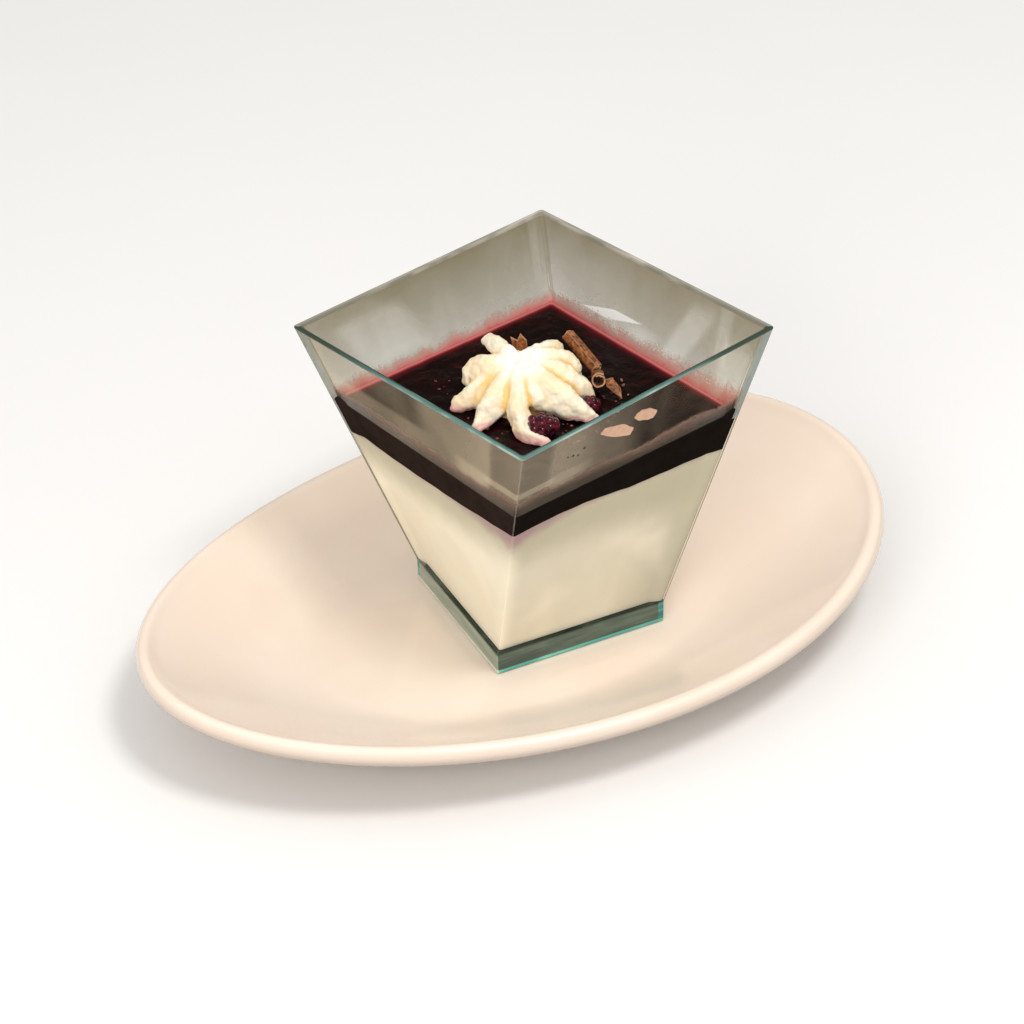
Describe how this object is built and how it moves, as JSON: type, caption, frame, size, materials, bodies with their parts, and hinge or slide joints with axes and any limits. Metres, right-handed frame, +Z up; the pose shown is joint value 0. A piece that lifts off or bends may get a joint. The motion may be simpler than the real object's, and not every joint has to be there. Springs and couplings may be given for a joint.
{
  "type": "panna cotta in a cup on a plate",
  "caption": "Panna cotta under a dark berry layer with piped cream and chocolate curls, in a clear twisted square cup that stands on a small oval plate.",
  "frame": {"origin": "on the table, under the middle of the plate", "axes": "+Z up; +X along the plate's long axis towards its broader end"},
  "size_m": [0.185, 0.1258, 0.0798],
  "materials": {
    "porcelain": "warm white glaze, glossy",
    "clear_plastic": "clear rigid plastic with sea-green edges, polished",
    "panna": "set cream, soft satin",
    "berry_jelly": "dark berry jelly, wet",
    "cream": "piped whipped cream, satin",
    "chocolate": "milk chocolate, satin with paler edges",
    "berry_skin": "wet berry, glossy"
  },
  "bodies": {
    "root": {"plate": "porcelain", "cup": "clear_plastic", "panna_cotta_layer": "panna", "berry_layer": "berry_jelly", "cream_rosette": "cream", "chocolate_roll": "chocolate", "chocolate_ring": "chocolate", "chocolate_shard": "chocolate", "chocolate_splinter": "chocolate", "dark_berry": "berry_skin", "dark_berry_small": "berry_skin"}
  },
  "joints": []
}
